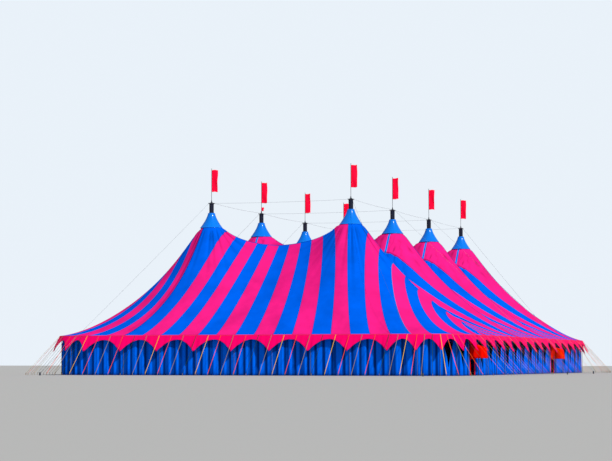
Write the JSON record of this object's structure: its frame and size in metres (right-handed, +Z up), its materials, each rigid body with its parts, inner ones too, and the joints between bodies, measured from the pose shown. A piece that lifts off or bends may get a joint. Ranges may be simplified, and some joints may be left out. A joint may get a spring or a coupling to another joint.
{
  "type": "circus big top tent, 1:10 scale model",
  "caption": "Striped circus big top with rows of king poles, scalloped valance, wall curtains with doorways, caps, flags, stays and guy straps; 1:10 scale model.",
  "frame": {"origin": "on the ground, under the middle of the tent", "axes": "+Z up, +Y along the tent from its front end to its back end, +X to the right seen from the front"},
  "size_m": [7.016, 9.776, 2.81],
  "materials": {
    "roof": "coated fabric, satin, in pink and blue stripes",
    "valance": "coated fabric, satin",
    "wall": "coated fabric curtain, matt",
    "drape": "fabric drape, matt",
    "flag": "light woven cloth",
    "cap": "glossy coated fabric over a ring",
    "mast": "dark paint, satin",
    "cable": "galvanised wire rope",
    "pole": "galvanised tube",
    "guy": "woven ratchet strap"
  },
  "bodies": {
    "root": {"roof_front_end": "roof", "roof_bay_1": "roof", "roof_bay_2": "roof", "roof_bay_3": "roof", "roof_back_end": "roof", "valance_front": "valance", "valance_right": "valance", "valance_back": "valance", "valance_left": "valance", "wall_front": "wall", "wall_right_corner": "wall", "wall_right_middle": "wall", "wall_right_rear": "wall", "wall_back": "wall", "wall_left_rear": "wall", "wall_left_middle": "wall", "wall_left_corner": "wall", "door_canopy_right_front": "drape", "door_canopy_right_back": "drape", "door_canopy_left_back": "drape", "door_canopy_left_front": "drape", "side_poles_front": "pole", "side_poles_right": "pole", "side_poles_back": "pole", "side_poles_left": "pole", "guy_straps_front": "guy", "guy_straps_right": "guy", "guy_straps_back": "guy", "guy_straps_left": "guy", "king_pole_left_1": "mast", "mast_cap_left_1": "cap", "flag_left_1": "flag", "king_pole_right_1": "mast", "mast_cap_right_1": "cap", "flag_right_1": "flag", "king_pole_left_2": "mast", "mast_cap_left_2": "cap", "flag_left_2": "flag", "king_pole_right_2": "mast", "mast_cap_right_2": "cap", "flag_right_2": "flag", "king_pole_left_3": "mast", "mast_cap_left_3": "cap", "flag_left_3": "flag", "king_pole_right_3": "mast", "mast_cap_right_3": "cap", "flag_right_3": "flag", "king_pole_left_4": "mast", "mast_cap_left_4": "cap", "flag_left_4": "flag", "king_pole_right_4": "mast", "mast_cap_right_4": "cap", "flag_right_4": "flag", "stay_cables_1": "cable", "stay_cables_2": "cable", "stay_cables_3": "cable", "stay_cables_4": "cable", "head_cables_left": "cable", "head_cables_right": "cable"}
  },
  "joints": []
}
